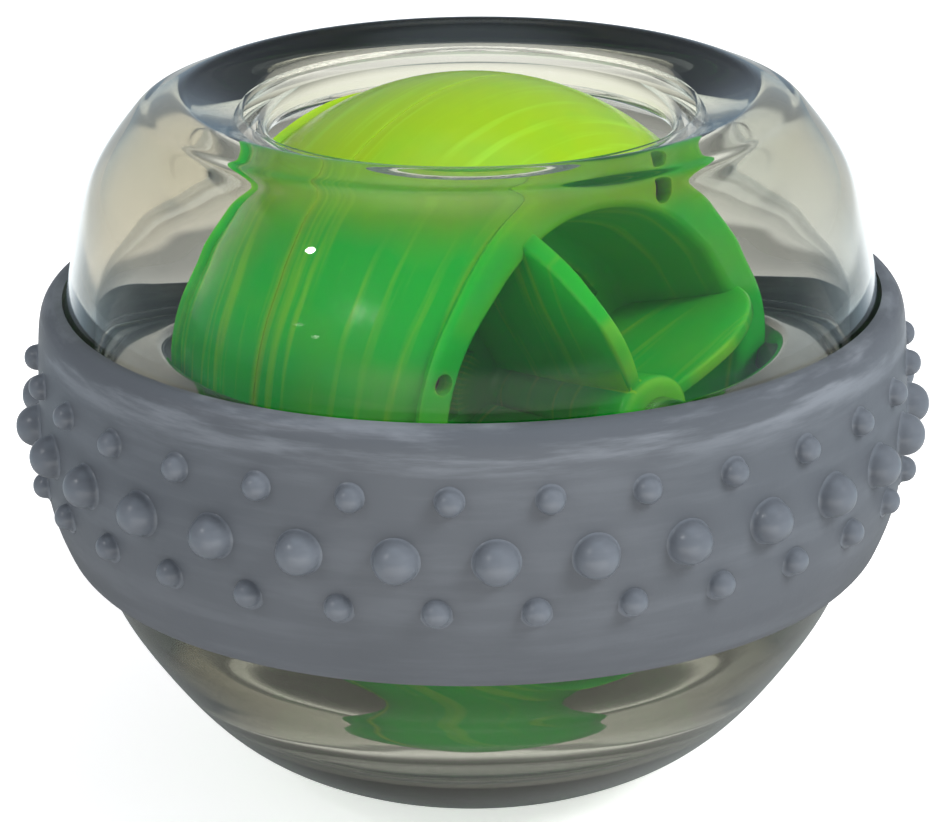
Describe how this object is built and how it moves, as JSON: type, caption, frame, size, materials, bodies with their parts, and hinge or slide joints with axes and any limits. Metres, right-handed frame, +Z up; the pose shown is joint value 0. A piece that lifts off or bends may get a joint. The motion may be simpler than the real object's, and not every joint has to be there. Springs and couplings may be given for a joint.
{
  "type": "gyroscopic wrist ball",
  "caption": "Hand-held gyroscopic exercise ball: clear split casing with a round mouth, nubbed rubber grip band and a finned rotor on an axle that turns in an inner race.",
  "frame": {"origin": "centre of the flat foot under the lower shell", "axes": "+Z up through the mouth; -Y towards the viewer of the picture; +X to the viewer's right"},
  "size_m": [0.0768, 0.0768, 0.0599],
  "materials": {
    "clear_plastic": "clear, slightly smoky, polished",
    "grip_rubber": "satin moulded rubber",
    "ring_plastic": "smoky plastic",
    "green_plastic": "translucent pearly green with streaks",
    "flywheel_zinc": "bright die-cast zinc",
    "steel": "ground steel"
  },
  "bodies": {
    "casing": {"upper_shell": "clear_plastic", "lower_shell": "clear_plastic", "grip_band": "grip_rubber"},
    "ring": {"retaining_ring": "ring_plastic"},
    "rotor": {"rotor_cover_front": "green_plastic", "rotor_cover_back": "green_plastic", "flywheel": "flywheel_zinc", "axle": "steel", "rotor_pin_1": "steel", "rotor_pin_2": "steel", "rotor_pin_3": "steel", "rotor_pin_4": "steel"}
  },
  "joints": [
    {"name": "ring_precession", "type": "hinge", "parent": "casing", "child": "ring", "pos_m": [0, 0, 0.0354], "axis": [0, 0, 1], "continuous": true},
    {"name": "rotor_spin", "type": "hinge", "parent": "ring", "child": "rotor", "pos_m": [0, 0, 0.0354], "axis": [0.7071, -0.7071, 0], "continuous": true}
  ]
}
